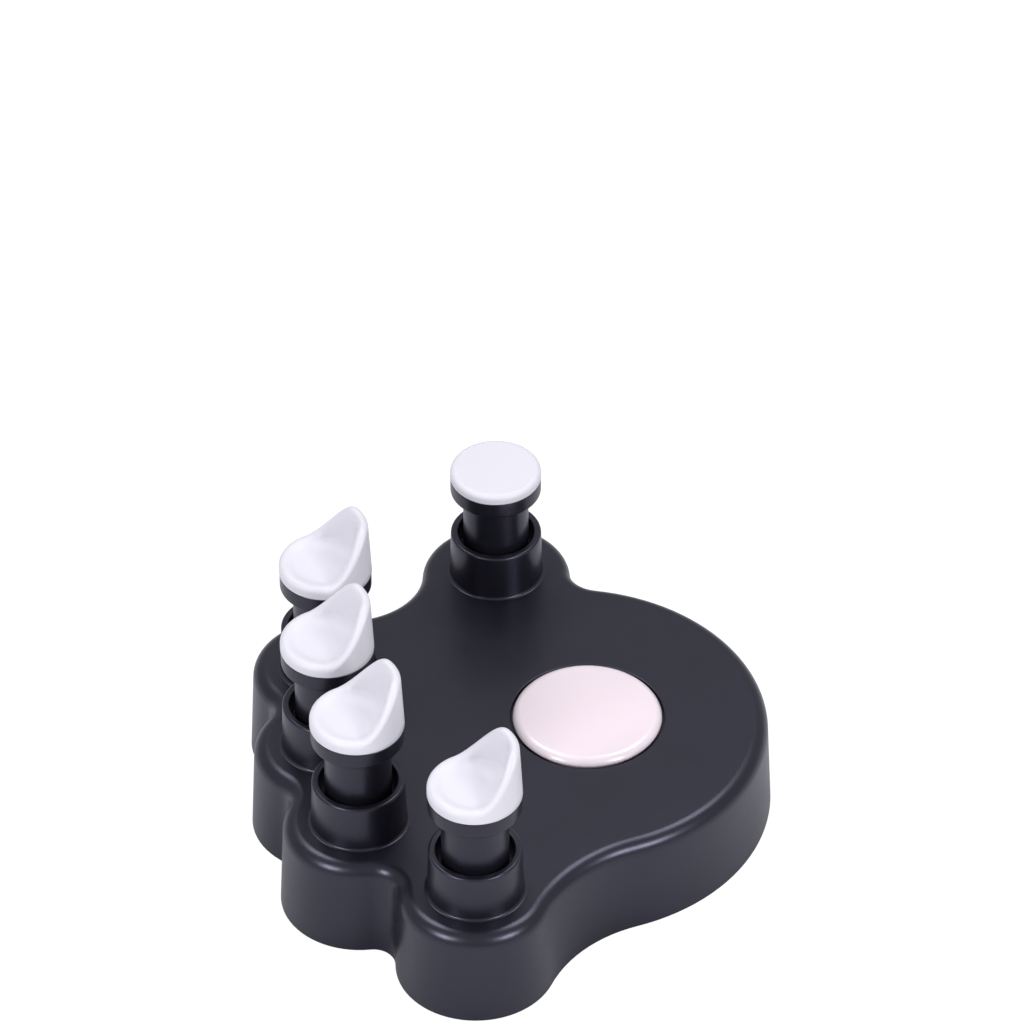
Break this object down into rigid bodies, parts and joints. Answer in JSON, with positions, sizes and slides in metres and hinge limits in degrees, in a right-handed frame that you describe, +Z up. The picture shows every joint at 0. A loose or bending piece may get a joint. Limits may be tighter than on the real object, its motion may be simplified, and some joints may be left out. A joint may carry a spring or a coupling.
{
  "type": "finger exerciser",
  "caption": "Left-hand finger exerciser: palm-shaped black base with sprung pistons, white scooped finger caps, a flat thumb disc and a glossy palm disc.",
  "frame": {"origin": "on the standing surface, under the middle of the bounding box", "axes": "+X towards the thumb side, +Y the way the fingers point, +Z up, the way the pistons return"},
  "size_m": [0.158, 0.1314, 0.0737],
  "materials": {
    "shell_black": "satin black ABS",
    "piston_black": "satin black ABS",
    "cap_white": "soft satin white plastic",
    "palm_gloss": "glossy pale pink, slightly domed",
    "spring_steel": "drawn spring wire",
    "screw_steel": "zinc plated",
    "foot_rubber": "matte black rubber"
  },
  "bodies": {
    "base": {"top_shell": "shell_black", "bottom_cover": "shell_black", "palm_disc": "palm_gloss", "cover_screws": "screw_steel", "spring_thumb": "spring_steel", "spring_index": "spring_steel", "spring_middle": "spring_steel", "spring_ring": "spring_steel", "spring_little": "spring_steel", "foot_thumb": "foot_rubber", "foot_index": "foot_rubber", "foot_ring": "foot_rubber", "foot_little": "foot_rubber", "foot_palm_left": "foot_rubber", "foot_palm_right": "foot_rubber"},
    "piston_thumb": {"plunger_thumb": "piston_black", "cap_thumb": "cap_white"},
    "piston_index": {"plunger_index": "piston_black", "cap_index": "cap_white"},
    "piston_middle": {"plunger_middle": "piston_black", "cap_middle": "cap_white"},
    "piston_ring": {"plunger_ring": "piston_black", "cap_ring": "cap_white"},
    "piston_little": {"plunger_little": "piston_black", "cap_little": "cap_white"}
  },
  "joints": [
    {"name": "thumb_press", "type": "slide", "parent": "base", "child": "piston_thumb", "axis": [0, 0, -1], "range_m": [0, 0.0135], "stiffness_N_per_m": 400, "springref_m": -0.008, "deforming": ["spring_thumb"]},
    {"name": "index_press", "type": "slide", "parent": "base", "child": "piston_index", "axis": [0, 0, -1], "range_m": [0, 0.0135], "stiffness_N_per_m": 400, "springref_m": -0.008, "deforming": ["spring_index"]},
    {"name": "middle_press", "type": "slide", "parent": "base", "child": "piston_middle", "axis": [0, 0, -1], "range_m": [0, 0.0135], "stiffness_N_per_m": 400, "springref_m": -0.008, "deforming": ["spring_middle"]},
    {"name": "ring_press", "type": "slide", "parent": "base", "child": "piston_ring", "axis": [0, 0, -1], "range_m": [0, 0.0135], "stiffness_N_per_m": 400, "springref_m": -0.008, "deforming": ["spring_ring"]},
    {"name": "little_press", "type": "slide", "parent": "base", "child": "piston_little", "axis": [0, 0, -1], "range_m": [0, 0.0135], "stiffness_N_per_m": 400, "springref_m": -0.008, "deforming": ["spring_little"]}
  ]
}
